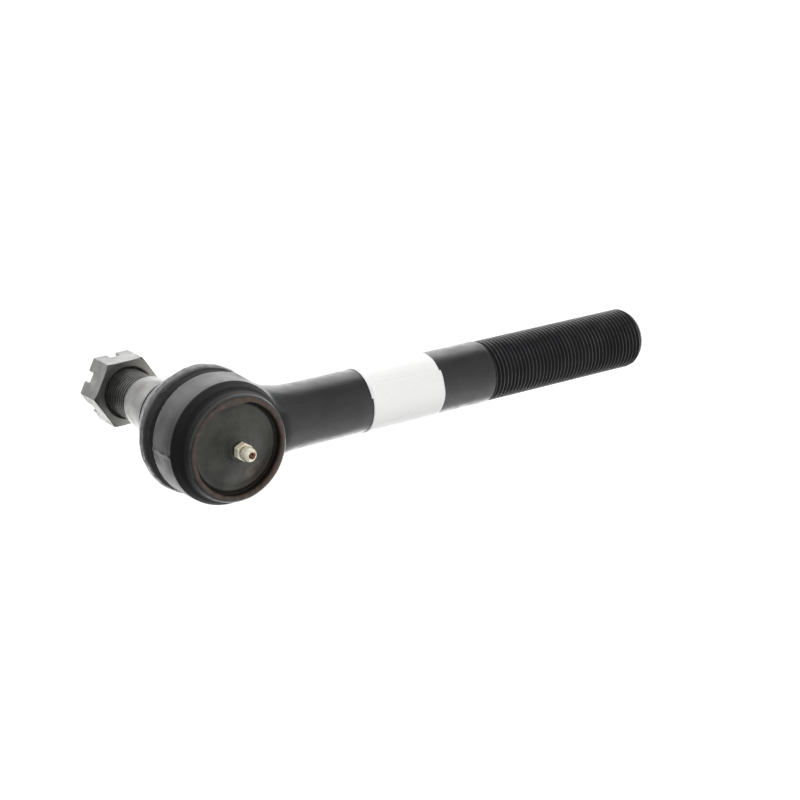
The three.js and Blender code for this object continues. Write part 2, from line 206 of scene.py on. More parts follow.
def along(axis, r, angle, h):
    """Points at radius r and height h about the Y or the X axis."""
    side, up = r * np.sin(angle), r * np.cos(angle)
    return np.stack((side, h, up) if axis == "Y" else (h, side, up), -1)


def turned(profile, axis="Y", segments=160, closed=False, warp=None):
    """Vertices and faces of a profile turned about an axis. warp changes (r, h) by angle."""
    ring = np.array(profile, float)
    angle = np.arange(segments) * 2 * math.pi / segments
    r, a = np.meshgrid(ring[:, 0], angle, indexing="ij")
    h = np.repeat(ring[:, 1:2], segments, 1)
    if warp:
        r, h = warp(r, h, a)
    vertices = along(axis, r, a, h).reshape(-1, 3)
    rows = len(ring) if closed else len(ring) - 1
    i, j = np.meshgrid(np.arange(rows), np.arange(segments), indexing="ij")
    i, j = i.ravel(), j.ravel()
    up, right = (i + 1) % len(ring), (j + 1) % segments
    corners = (i * segments + j, i * segments + right, up * segments + right, up * segments + j)
    return vertices, np.stack(corners, -1)


def threaded(axis, start, end, pitch, crest_r, depth, low_env, high_env, flank=0.36, rows=10):
    """A right-hand thread. low_env and high_env limit its radius along its length."""
    segments = 112
    root_flat = 0.07
    turns = int(math.ceil((end - start) / pitch)) + 3
    count = turns * rows + 1
    phase = (np.arange(rows) + 0.5) / rows
    lift = np.clip(np.minimum(phase - root_flat, 1 - root_flat - phase) / flank, 0, 1)
    level = crest_r - depth + depth * lift
    j, i = np.meshgrid(np.arange(count), np.arange(segments), indexing="ij")
    height = start - 1.5 * pitch + pitch * (j / rows + i / segments)
    r = level[j % rows]
    h = np.clip(height, start, end)
    r = np.minimum(np.maximum(r, low_env(h)), high_env(h))
    sense = 1 if axis == "Y" else -1
    vertices = along(axis, r, sense * i * 2 * math.pi / segments, h).reshape(-1, 3)
    faces = []
    jj, ii = np.meshgrid(np.arange(count - 1), np.arange(segments - 1), indexing="ij")
    jj, ii = jj.ravel(), ii.ravel()
    here = jj * segments + ii
    faces.append(np.stack((here, here + 1, here + segments + 1, here + segments), -1))
    jj = np.arange(count - 1 - rows)
    last, first = jj * segments + segments - 1, (jj + rows) * segments
    faces.append(np.stack((last, first, first + segments, last + segments), -1))
    quads = np.concatenate(faces).tolist()
    ends = np.array([along(axis, 0, 0, start), along(axis, 0, 0, end)])
    low, high = len(vertices), len(vertices) + 1
    for i in range(segments):
        k = (i + 1) % segments
        top = (count - 1) * segments
        shift = 0 if k else rows * segments
        if i == segments - 1:
            quads.append([low, i, shift])
            quads.append([high, top + i - shift, top])
        else:
            quads.append([low, i, k])
            quads.append([high, top + i, top + k])
    return np.concatenate((vertices, ends)), quads


def grown(field, low, high, step):
    """Vertices and faces of the surface where field is 0, on a grid and then moved on to it."""
    axes = [np.arange(a, b + step, step) for a, b in zip(low, high)]
    x, y, z = np.meshgrid(*axes, indexing="ij")
    value = field(x, y, z)
    shape = np.array(value.shape)
    total = np.zeros((*(shape - 1), 3))
    hits = np.zeros(shape - 1)
    window = [slice(0, -1), slice(1, None)]
    for axis in range(3):
        others = [k for k in range(3) if k != axis]
        for p in (0, 1):
            for q in (0, 1):
                near, far = [None] * 3, [None] * 3
                near[axis], far[axis] = window[0], window[1]
                near[others[0]] = far[others[0]] = window[p]
                near[others[1]] = far[others[1]] = window[q]
                a, b = value[tuple(near)], value[tuple(far)]
                cut = (a < 0) != (b < 0)
                t = np.where(cut, a / np.where(cut, a - b, 1), 0)
                hits += cut
                total[..., axis] += np.where(cut, t, 0)
                total[..., others[0]] += cut * p
                total[..., others[1]] += cut * q
    active = hits > 0
    index = np.full(active.shape, -1)
    index[active] = np.arange(active.sum())
    corner = np.argwhere(active)
    points = (corner + total[active] / hits[active][:, None]) * step + np.array(low)
    faces = []
    for axis in range(3):
        u, v = [k for k in range(3) if k != axis]
        inner = [slice(1, -1)] * 3
        inner[axis] = slice(0, -1)
        outer = [slice(1, -1)] * 3
        outer[axis] = slice(1, None)
        a, b = value[tuple(inner)], value[tuple(outer)]
        at = np.argwhere((a < 0) != (b < 0))
        out = (a < 0)[tuple(at.T)]
        at = at + np.array([0 if k == axis else 1 for k in range(3)])
        ring = []
        for du, dv in ((-1, -1), (0, -1), (0, 0), (-1, 0)):
            cell = at.copy()
            cell[:, u] += du
            cell[:, v] += dv
            ring.append(index[tuple(cell.T)])
        ring = np.stack(ring, -1)
        flip = out if axis != 1 else ~out
        faces.append(np.where(flip[:, None], ring, ring[:, ::-1]))
    small = step * 0.02
    for _ in range(4):
        slope = np.empty_like(points)
        for k in range(3):
            move = np.zeros(3)
            move[k] = small
            ahead, behind = points + move, points - move
            slope[:, k] = (field(*ahead.T) - field(*behind.T)) / (2 * small)
        size = np.maximum((slope**2).sum(1), 0.05)
        shift = slope * (field(*points.T) / size)[:, None]
        far = np.linalg.norm(shift, axis=1)
        points -= shift * np.minimum(1, 0.5 * step / np.maximum(far, 1e-9))[:, None]
    return points, np.concatenate(faces)


def joined(*shells):
    """Several shells of vertices and faces as one."""
    vertices, faces, count = [], [], 0
    for points, quads in shells:
        vertices.append(np.asarray(points, float))
        quads = quads.tolist() if isinstance(quads, np.ndarray) else quads
        faces += [[c + count for c in face] for face in quads]
        count += len(points)
    return np.concatenate(vertices), faces


# ---- materials ----
class Nodes:
    """A node tree, with short ways to add and join its nodes."""

    def __init__(self, tree):
        self.nodes, self.links = tree.nodes, tree.links

    def put(self, value, socket):
        """Links a node's output to a socket, or sets the socket's own value."""
        if isinstance(value, bpy.types.NodeSocket):
            self.links.new(value, socket)
        elif isinstance(value, tuple):
            socket.default_value = (*value, 1) if len(socket.default_value) == 4 else value
        else:
            socket.default_value = value

    def calc(self, operation, *values, kind="ShaderNodeMath"):
        node = self.nodes.new(kind)
        node.operation = operation
        for value, socket in zip(values, node.inputs):
            self.put(value, socket)
        return node.outputs["Value" if operation == "DOT_PRODUCT" else 0]

    def vector(self, operation, *values):
        return self.calc(operation, *values, kind="ShaderNodeVectorMath")

    def both(self, *masks):
        """The product of masks and numbers."""
        result = masks[0]
        for mask in masks[1:]:
            result = self.calc("MULTIPLY", result, mask)
        return result

    def fade(self, value, low, high, start=0.0, end=1.0):
        """Goes smoothly from start at low to end at high. low may be the larger one."""
        node = self.nodes.new("ShaderNodeMapRange")
        node.interpolation_type = "SMOOTHSTEP"
        for given, socket in zip((value, low, high, start, end), node.inputs):
            self.put(given, socket)
        return node.outputs[0]


class Paint(Nodes):
    """One procedural material."""

    def __init__(self, name, roughness, metallic=0.0, specular=0.5):
        self.material = bpy.data.materials.new(name)
        self.material.use_nodes = True
        super().__init__(self.material.node_tree)
        self.shader = self.nodes["Principled BSDF"]
        self.shader.inputs["Roughness"].default_value = roughness
        self.shader.inputs["Metallic"].default_value = metallic
        self.shader.inputs["Specular IOR Level"].default_value = specular
        self.place = self.nodes.new("ShaderNodeTexCoord").outputs["Object"]
        self.relief = None

    def stretched(self, factors):
        return self.vector("MULTIPLY", self.place, factors)

    def about(self, axis):
        """(distance from the axis, place along it, angle round it), in millimetres and radians."""
        split = self.nodes.new("ShaderNodeSeparateXYZ")
        self.put(self.place, split.inputs[0])
        x, y, z = split.outputs
        side, height = (x, y) if axis == "Y" else (y, x)
        squares = self.calc("ADD", self.calc("POWER", side, 2.0), self.calc("POWER", z, 2.0))
        radius = self.calc("MULTIPLY", self.calc("SQRT", squares), 1 / MM)
        return radius, self.calc("MULTIPLY", height, 1 / MM), self.calc("ARCTAN2", side, z)

    def noise(self, size, detail=3.0, rough=0.5, stretch=None, twist=0.0):
        """Noise from 0 to 1 with features of about the given size in millimetres."""
        node = self.nodes.new("ShaderNodeTexNoise")
        self.put(self.stretched(stretch) if stretch else self.place, node.inputs["Vector"])
        node.inputs["Scale"].default_value = 0.5 / (size * MM)
        node.inputs["Detail"].default_value = detail
        node.inputs["Roughness"].default_value = rough
        node.inputs["Distortion"].default_value = twist
        return node.outputs["Fac"]

    def cells(self, size):
        """Distance to the nearest of many points about size millimetres apart."""
        node = self.nodes.new("ShaderNodeTexVoronoi")
        self.put(self.place, node.inputs["Vector"])
        node.inputs["Scale"].default_value = 1 / (size * MM)
        return node.outputs["Distance"]

    def band(self, value, low, high, soft):
        """1 where value is between low and high, falling to 0 over soft on both sides."""
        rise = self.fade(value, low - soft, low)
        return self.both(rise, self.fade(value, high, high + soft, 1.0, 0.0))

    def blend(self, factor, first, second):
        """From the first colour to the second."""
        node = self.nodes.new("ShaderNodeMix")
        node.data_type = "RGBA"
        self.put(factor, node.inputs[0])
        self.put(first, node.inputs[6])
        self.put(second, node.inputs[7])
        return node.outputs[2]

    def vary(self, factor, first, second):
        """From the first number to the second."""
        node = self.nodes.new("ShaderNodeMix")
        self.put(factor, node.inputs[0])
        self.put(first, node.inputs[2])
        self.put(second, node.inputs[3])
        return node.outputs[0]

    def bump(self, height, depth):
        """Adds relief that is depth millimetres deep."""
        node = self.nodes.new("ShaderNodeBump")
        node.inputs["Distance"].default_value = depth * MM
        self.put(height, node.inputs["Height"])
        if self.relief:
            self.put(self.relief, node.inputs["Normal"])
        self.relief = node.outputs[0]

    def finish(self, colour, roughness=None, metallic=None):
        self.put(colour, self.shader.inputs["Base Color"])
        if roughness is not None:
            self.put(roughness, self.shader.inputs["Roughness"])
        if metallic is not None:
            self.put(metallic, self.shader.inputs["Metallic"])
        if self.relief:
            self.put(self.relief, self.shader.inputs["Normal"])
        return self.material


def black_paint():
    """Thin satin black over a forged skin, rubbed on the crimped lip, which has gone brown inside, with
    painted shade on the lip's chamfer and the barrel's back edge.
    """
    p = Paint("black_paint", 0.4, specular=0.62)
    r, y, _ = p.about("Y")
    shank_r, x, _ = p.about("X")
    cloud = p.noise(14, 4, 0.6)
    grain = p.noise(0.55, 3, 0.6)
    scuff = p.noise(2.2, 5, 0.65, stretch=(0.35, 1.0, 1.0), twist=0.6)
    base = p.blend(p.fade(cloud, 0.3, 0.7), (0.0125, 0.0128, 0.0142), (0.0215, 0.0218, 0.0235))
    dust = p.both(p.fade(scuff, 0.56, 0.78), p.fade(p.noise(9, 3, 0.5), 0.42, 0.7))
    base = p.blend(p.both(dust, 0.5), base, (0.075, 0.076, 0.078))
    inside = p.both(
        p.fade(r, LIP_CREST_R + 0.7, LIP_CREST_R + 0.1), p.fade(y, COVER_FACE_Y + 0.4, COVER_FACE_Y - 0.2)
    )
    rust_noise = p.noise(1.5, 5, 0.7)
    rust = p.blend(p.fade(rust_noise, 0.3, 0.75), (0.030, 0.023, 0.018), (0.092, 0.056, 0.038))
    rust = p.blend(p.fade(y, FRONT_Y + 0.5, FRONT_Y + 1.2), rust, (0.010, 0.008, 0.007))
    base = p.blend(p.both(inside, p.fade(rust_noise, 0.05, 0.35)), base, rust)
    crest = p.both(
        p.band(r, LIP_SHOULDER_R - 0.4, LIP_SHOULDER_R + 0.1, 0.25),
        p.band(y, LIP_SHOULDER_Y - 0.7, LIP_SHOULDER_Y + 0.1, 0.3),
    )
    rubbed = p.both(crest, p.fade(p.noise(3.5, 3, 0.6), 0.25, 0.6))
    base = p.blend(p.both(rubbed, 0.8), base, (0.12, 0.12, 0.116))
    on_thread = p.fade(x, SHANK_END_X + 0.4, SHANK_END_X + 1.2)
    crest_line = p.both(on_thread, p.fade(shank_r, 13.95, 14.25))
    worn = p.both(crest_line, p.fade(p.noise(6, 4, 0.6), 0.35, 0.75))
    base = p.blend(p.both(worn, 0.7), base, (0.10, 0.10, 0.102))
    rough = p.vary(p.fade(p.noise(3.0, 4, 0.6), 0.3, 0.7), 0.31, 0.44)
    # The lip's chamfer and the barrel's back edge are made duller and darker in colour; the darker colour
    # is painted shade.
    dull = p.both(
        p.band(y, LIP_SHOULDER_Y + 0.9, BARREL_FRONT_Y + 0.1, 1.1),
        p.fade(r, LIP_SHOULDER_R - 0.2, LIP_SHOULDER_R + 0.4),
        p.fade(x, 33, 27),
    )
    back = p.band(y, BARREL_BACK_Y - 1.4, BARREL_BACK_Y + 2.3, 0.9)
    dull = p.calc("MAXIMUM", dull, p.both(back, p.fade(r, SEAT_R - 0.6, SEAT_R), p.fade(x, 20, 12)))
    skin = p.both(p.fade(r, BARREL_R - 1.0, BARREL_R - 0.4), p.fade(x, 26, 12))
    rough = p.vary(p.calc("MULTIPLY", skin, p.fade(cloud, 0.3, 0.7, 0.15, 0.75)), rough, 0.62)
    rough = p.vary(dull, rough, 0.85)
    # Painted shade: the base colour goes darker on the lip's chamfer and at the barrel's back edge.
    base = p.blend(p.both(dull, 0.7), base, (0.007, 0.007, 0.0075))
    rough = p.vary(rubbed, rough, 0.3)
    rough = p.vary(inside, rough, 0.62)
    p.bump(p.noise(3.2, 3, 0.5), 0.10)
    p.bump(p.both(skin, p.noise(0.9, 4, 0.65)), 0.05)
    p.bump(grain, 0.022)
    p.bump(p.fade(p.cells(2.6), 0.05, 0.4), 0.015)
    return p.finish(base, rough, p.both(rubbed, 0.5))


def cover_phosphate():
    """Dark grey-green phosphate coating on a pressed plate, with turning marks and some brown."""
    p = Paint("cover_phosphate", 0.5, 0.25)
    r, _, angle = p.about("Y")
    cloud = p.noise(7, 5, 0.6)
    base = p.blend(p.fade(cloud, 0.3, 0.72), (0.036, 0.037, 0.032), (0.072, 0.073, 0.064))
    speck = p.fade(p.noise(0.8, 4, 0.7), 0.62, 0.75)
    base = p.blend(p.both(speck, 0.5), base, (0.015, 0.015, 0.014))
    edge = p.fade(r, 15.5, 19.4)
    side = p.fade(p.calc("COSINE", p.calc("SUBTRACT", angle, 2.45)), 0.25, 1.0)
    rusty = p.both(edge, p.fade(p.noise(2.6, 5, 0.65), 0.42, 0.68), side)
    base = p.blend(p.both(rusty, 0.75), base, (0.085, 0.052, 0.032))
    patch = p.both(
        p.band(angle, 2.35, 2.75, 0.2), p.band(r, 11.5, 15.5, 1.5), p.fade(p.noise(2.2, 4, 0.6), 0.3, 0.6)
    )
    base = p.blend(p.both(patch, 0.7), base, (0.125, 0.092, 0.064))
    rings = p.noise(0.35, 2, 0.5)
    wave = p.calc("SINE", p.both(r, 4.2))
    p.bump(p.noise(5, 3, 0.5), 0.05)
    p.bump(p.both(wave, p.fade(r, 10, 7, 0.3, 1.0)), 0.02)
    p.bump(rings, 0.012)
    smear = p.noise(4, 4, 0.6, stretch=(1.0, 1.0, 0.4), twist=0.8)
    rough = p.vary(p.fade(smear, 0.35, 0.7), 0.36, 0.56)
    return p.finish(base, rough)


def yellow_zinc():
    """Bright zinc with a thin yellow passivate, with painted shade in the waist under the head and below
    the hexagon.
    """
    p = Paint("yellow_zinc", 0.3, 0.3)
    r, y, _ = p.about("Y")
    cloud = p.noise(2.4, 4, 0.6)
    base = p.blend(p.fade(cloud, 0.3, 0.7), (0.95, 0.86, 0.58), (0.98, 0.94, 0.80))
    dirt = p.fade(p.noise(0.9, 5, 0.7), 0.6, 0.78)
    base = p.blend(p.both(dirt, 0.45), base, (0.16, 0.11, 0.06))
    stain = p.calc("ADD", r, p.fade(p.noise(1.4, 4, 0.6), 0.3, 0.7, -0.35, 0.35))
    mouth = p.both(p.fade(stain, 2.0, 1.35), p.fade(y, FITTING_TIP_Y + 2.2, FITTING_TIP_Y + 1.6))
    base = p.blend(p.both(mouth, 0.9), base, (0.20, 0.09, 0.055))
    # Painted shade: the waist between the head and the hexagon is made dark.
    neck = p.both(p.fade(r, 2.9, 2.5), p.fade(y, FITTING_TIP_Y + 2.4, FITTING_TIP_Y + 2.8))
    base = p.blend(neck, base, (0.11, 0.09, 0.035))
    # Painted shade: everything below the hexagon's far face, the stand-off and screwed end, is made dark.
    under = p.fade(y, COVER_FRONT_Y - HEX_STAND_OFF - 0.2, COVER_FRONT_Y - HEX_STAND_OFF + 0.1)
    base = p.blend(under, base, (0.06, 0.055, 0.035))
    p.bump(p.noise(0.18, 3, 0.6), 0.010)
    return p.finish(base, p.vary(p.fade(p.noise(0.7, 4, 0.6), 0.3, 0.7), 0.2, 0.36))


def check_ball_steel():
    """A small steel ball that grease has turned red-brown."""
    p = Paint("check_ball_steel", 0.3, 0.8)
    stain = p.fade(p.noise(0.5, 4, 0.6), 0.35, 0.65)
    base = p.blend(stain, (0.28, 0.13, 0.07), (0.13, 0.05, 0.025))
    p.bump(p.noise(0.12, 3, 0.6), 0.006)
    return p.finish(base, p.vary(stain, 0.25, 0.45))


def machined_steel():
    """Turned and ground steel with fine rings, a dull thread and light stains, with painted shade next to
    the boot and in the thread's roots.
    """
    p = Paint("machined_steel", 0.34, 0.85)
    r, y, _ = p.about("Y")
    cloud = p.noise(9, 4, 0.6)
    base = p.blend(p.fade(cloud, 0.3, 0.7), (0.085, 0.083, 0.080), (0.17, 0.17, 0.166))
    stain = p.both(p.fade(p.noise(5, 5, 0.65), 0.45, 0.7), p.fade(y, 56, 36))
    base = p.blend(p.both(stain, 0.5), base, (0.085, 0.080, 0.075))
    thread = p.fade(y, TAPER_END_Y - 0.3, TAPER_END_Y + 0.5)
    oil_and_root_shade = p.blend(p.fade(p.noise(2, 4, 0.6), 0.3, 0.7), (0.11, 0.11, 0.105), (0.20, 0.20, 0.19))
    # Painted shade: the thread's roots, inside radius 10.5, are made almost black; the crests keep the
    # mottled oil colour.
    oil_and_root_shade = p.blend(p.fade(r, 10.5, 11.0), (0.016, 0.015, 0.013), oil_and_root_shade)
    # Painted shade: the taper goes darker towards the boot's lip.
    base = p.blend(p.fade(y, 39, 31, 0.0, 0.5), base, (0.03, 0.03, 0.028))
    base = p.blend(thread, base, oil_and_root_shade)
    rings = p.noise(0.22, 2, 0.6, stretch=(0.03, 1.0, 0.03))
    p.bump(p.both(rings, p.fade(y, TAPER_END_Y + 0.3, TAPER_END_Y - 0.7)), 0.008)
    p.bump(p.noise(0.4, 3, 0.6), 0.006)
    rough = p.vary(p.fade(p.noise(3, 4, 0.6), 0.3, 0.7), 0.30, 0.42)
    return p.finish(base, p.vary(thread, rough, 0.42))


def nut_steel():
    """Plain steel nut: cold-drawn flats, sawn slots and a turned face, with dull patches and painted light
    on one side of the face.
    """
    p = Paint("nut_steel", 0.42, 0.8)
    r, y, angle = p.about("Y")
    cloud = p.noise(6, 5, 0.62)
    base = p.blend(p.fade(cloud, 0.3, 0.72), (0.14, 0.142, 0.137), (0.235, 0.235, 0.228))
    face = p.fade(y, NUT_FACE_Y + 0.35, NUT_FACE_Y + 0.1)
    tint = p.both(face, p.fade(p.noise(4, 4, 0.6), 0.45, 0.75))
    base = p.blend(p.both(tint, 0.5), base, (0.20, 0.185, 0.12))
    # Painted light: one side of the turned face is made much paler.
    painted_light_side = p.both(face, p.fade(p.calc("COSINE", p.calc("SUBTRACT", angle, 2.0)), -0.5, 0.9))
    base = p.blend(p.both(painted_light_side, 0.5), base, (0.80, 0.78, 0.68))
    pits = p.fade(p.noise(0.7, 5, 0.7), 0.63, 0.76)
    base = p.blend(p.both(pits, 0.6), base, (0.09, 0.085, 0.075))
    drawn = p.noise(0.5, 3, 0.6, stretch=(1.0, 0.05, 1.0))
    wave = p.calc("SINE", p.both(r, 7.0))
    p.bump(p.both(wave, face), 0.012)
    p.bump(drawn, 0.012)
    p.bump(p.noise(1.6, 4, 0.6), 0.03)
    return p.finish(base, p.vary(p.fade(p.noise(2.5, 4, 0.65), 0.3, 0.7), 0.34, 0.5))


def boot_rubber():
    """Black rubber with moulded grain, dusty on its bead."""
    p = Paint("boot_rubber", 0.5, specular=0.6)
    r, _, _ = p.about("Y")
    cloud = p.noise(6, 4, 0.6)
    base = p.blend(p.fade(cloud, 0.3, 0.7), (0.020, 0.020, 0.021), (0.036, 0.036, 0.038))
    speck = p.both(p.fade(p.noise(1.2, 5, 0.75), 0.48, 0.72), p.fade(r, BEAD_R - 2.6, BEAD_R - 0.3))
    base = p.blend(p.both(speck, 0.5), base, (0.10, 0.10, 0.105))
    p.bump(p.noise(1.3, 4, 0.65), 0.12)
    p.bump(p.noise(0.4, 3, 0.6), 0.03)
    return p.finish(base, p.vary(p.fade(p.noise(1.2, 4, 0.7), 0.35, 0.65), 0.34, 0.6))


def bearing_steel():
    """Ground steel under a patchy film of grease."""
    p = Paint("bearing_steel", 0.28, 0.9)
    film = p.fade(p.noise(4, 4, 0.6), 0.4, 0.7)
    base = p.blend(film, (0.40, 0.40, 0.41), (0.26, 0.22, 0.15))
    p.bump(p.noise(0.3, 2, 0.6, stretch=(0.04, 1.0, 0.04)), 0.006)
    return p.finish(base, p.vary(film, 0.24, 0.4))


def spring_steel():
    """Dark tempered spring steel."""
    p = Paint("spring_steel", 0.38, 0.9)
    scale = p.fade(p.noise(2.5, 5, 0.65), 0.4, 0.7)
    base = p.blend(scale, (0.10, 0.105, 0.12), (0.19, 0.19, 0.195))
    p.bump(p.noise(0.5, 4, 0.65), 0.012)
    return p.finish(base, p.vary(scale, 0.3, 0.5))


def label_paper():
    """White coated paper with faint fibre, soft creases and handling marks."""
    p = Paint("label_paper", 0.55, specular=0.35)
    fibre = p.noise(0.6, 5, 0.7)
    mark = p.both(p.fade(p.noise(7, 4, 0.6), 0.55, 0.8), p.fade(p.noise(1.8, 4, 0.7), 0.4, 0.7))
    base = p.blend(p.fade(fibre, 0.3, 0.7), (0.91, 0.91, 0.90), (0.95, 0.95, 0.945))
    base = p.blend(p.both(mark, 0.35), base, (0.66, 0.65, 0.62))
    p.bump(p.noise(9, 3, 0.5), 0.06)
    p.bump(fibre, 0.008)
    return p.finish(base, p.vary(p.fade(p.noise(3, 4, 0.6), 0.3, 0.7), 0.45, 0.62))


# ---- socket and shank forging ----
NECK_EXTRA_Z = 9.2
NECK_BLEND = 3.0
SEAM_X = 90
LIP_SEAM_Y = -19.4
BACK_RING_Y = BARREL_BACK_Y - 3
LIP_FILLET = 2.4
STAKE_ANGLE = math.radians(-4)


def lip_outer_r(y):
    """Radius of the crimped lip's slightly conical outside."""
    slope = (LIP_BASE_R - LIP_SHOULDER_R) / (LIP_BASE_Y - LIP_SHOULDER_Y)
    return LIP_BASE_R + 0.05 + (y - LIP_BASE_Y) * slope


def parting_ridge(x, y, z):
    """Height of the forging's parting line on the side away from the shank."""
    ridge = np.exp(-((z + 0.4) ** 2) / 0.5) * ease(-x, 16, 24) * (0.42 + 0.12 * np.sin(y * 0.9))
    return ridge * ease(y, BARREL_FRONT_Y - 0.5, BARREL_FRONT_Y + 2)


def ridge_warp(r, h, angle):
    """Carries the parting ridge over a turned ring."""
    outside = ease(r, SEAT_R + 1, BARREL_R - 1)
    return r + outside * parting_ridge(r * np.sin(angle), h, r * np.cos(angle)), h


def socket_field(x, y, z):
    """Distance to the barrel, neck and lip, less the bore, the cover's pocket and the boot's seat."""
    r = np.hypot(x, z)
    edge = 0.4
    outline = [
        (0, LIP_BASE_Y + edge),
        (LIP_BASE_R + 0.2, LIP_BASE_Y + edge),
        (BARREL_R - edge - 0.35, BARREL_FRONT_Y + edge),
        (BARREL_R - edge - 0.1, BARREL_FRONT_Y + edge + 3),
        (BARREL_R - edge, BARREL_FRONT_Y + edge + 6),
        (BARREL_R - edge, BACK_RING_Y - 0.2),
        (BARREL_R - edge - 0.8, BACK_RING_Y + 0.8),
        (BARREL_R - edge - 0.8, SOCKET_END_Y - edge),
        (0, SOCKET_END_Y - edge),
    ]
    barrel = outline_distance(r, y, outline) - edge
    left = np.clip((NECK_END_X - x) / (NECK_END_X - NECK_START_X), 0, 1.02)
    grow = 1 + NECK_EXTRA_Z / SHANK_R * left**2.8
    neck = np.hypot(y, z / grow) - SHANK_R
    neck = np.maximum(neck, 8 - x)
    lip = np.maximum((r - lip_outer_r(y)) * 0.97, LIP_SEAM_Y - 0.8 - y)
    lip = np.maximum(lip, y - LIP_BASE_Y - 2)
    body = smooth_min(smooth_min(barrel, lip, LIP_FILLET), neck, NECK_BLEND)
    body = body - parting_ridge(x, y, z)
    step = np.maximum(SEAT_R - r, BARREL_BACK_Y - y)
    body = smooth_max(body, -np.maximum(step, r - BEAD_R - 0.4), 0.4)
    over = np.maximum(SOCKET_END_Y - y, r - SEAT_R - 4.5)
    body = smooth_max(body, -over, 0.5)
    bore = np.maximum(r - BORE_R, y - BORE_END_Y)
    slope = (MOUTH_END_R - MOUTH_R) / (SOCKET_END_Y - BORE_END_Y)
    mouth = (r - MOUTH_R - (y - BORE_END_Y) * slope) * 0.94
    body = smooth_max(body, -np.minimum(bore, mouth), 0.4)
    pocket = np.maximum(r - COVER_R - GAP, y - COVER_BACK_Y - GAP)
    return smooth_max(body, -pocket, 0.3)


def lip_warp(r, h, angle):
    """The crimped lip isn't quite true: it waves a little and is staked over the cover at the top."""
    inner = ease(LIP_SHOULDER_R - r, 0, 2) * ease(-h, -LIP_SEAM_Y, 22)
    wave = 0.09 * np.sin(3 * angle + 1.1) + 0.05 * np.sin(7 * angle) + 0.03 * np.sin(17 * angle + 2)
    away = (angle - STAKE_ANGLE + math.pi) % (2 * math.pi) - math.pi
    stake = np.exp(-((away / 0.29) ** 4)) * ease(LIP_CREST_R - r, 0, 1.3) * ease(-h, 20.5, 22.5)
    return r - inner * wave - 1.9 * stake, h + inner * 0.2 * wave + 0.8 * stake


def make_forging():
    """The barrel and neck from a distance field, with a turned back edge, lip and shank, and the thread."""
    low = (-BARREL_R - 2, LIP_SEAM_Y - 2.5, -BARREL_R - 2)
    high = (SEAM_X - 12, max(SOCKET_END_Y, SHANK_R) + 1.5, BARREL_R + 2)
    step = 0.6
    body = grown(socket_field, low, high, step)
    lip = turned(rounded([
        (lip_outer_r(LIP_SEAM_Y) - 0.4, LIP_SEAM_Y + 0.2),
        (lip_outer_r(LIP_SEAM_Y) + 0.03, LIP_SEAM_Y),
        (LIP_SHOULDER_R + 0.1, LIP_SHOULDER_Y - 0.1, 0.6),
        (LIP_CREST_R + 0.25, FRONT_Y + 0.12, 0.4),
        (LIP_CREST_R - 0.6, FRONT_Y, 0.3),
        (LIP_BORE_R + 0.35, FRONT_Y + 0.1, 0.35),
        (LIP_BORE_R, FRONT_Y + 1.0, 0.3),
        (LIP_BORE_R, COVER_FACE_Y - GAP, 0.2),
        (COVER_R + GAP, COVER_FACE_Y - GAP, 0.1),
        (COVER_R + GAP, LIP_SEAM_Y + 0.2),
    ], closed=True, steps=6), closed=True, segments=300, warp=lip_warp)
    shank = turned(rounded([
        (0, SEAM_X - 14),
        (SHANK_R, SEAM_X - 14),
        (SHANK_R, SEAM_X),
        (SHANK_R, SHANK_END_X - 0.4, 0.3),
        (GROOVE_R + 0.1, SHANK_END_X + 0.7, 0.5),
        (GROOVE_R, SHANK_END_X + 1.6),
        (0, SHANK_END_X + 1.6),
    ]), "X", 160)
    start = SHANK_END_X + 0.9
    thread = threaded(
        "X", start, THREAD_END_X, SHANK_PITCH, SHANK_THREAD_R, THREAD_DEPTH * SHANK_PITCH,
        lambda h: np.where(h > THREAD_END_X - 0.01, 0, GROOVE_R - 0.9)
        - 1.2 * ease(h, start + 2, start + 5),
        lambda h: np.minimum(
            np.minimum(GROOVE_R + (h - start) * 0.7, SHANK_THREAD_R),
            END_FACE_R + 3.6 * np.clip((THREAD_END_X - h) / 5.2, 0, 1) ** 0.72,
        ),
    )
    back = turned(rounded([
        (SEAT_R - 0.6, BACK_RING_Y),
        (BARREL_R + 0.03, BACK_RING_Y),
        (BARREL_R + 0.03, BARREL_BACK_Y, 0.3),
        (SEAT_R - 0.6, BARREL_BACK_Y),
    ]), closed=True, segments=400, warp=ridge_warp)
    shape = joined(body, back, lip, shank, thread)
    return piece_from("forged_socket", shape, "socket", "socket_forging", black_paint())


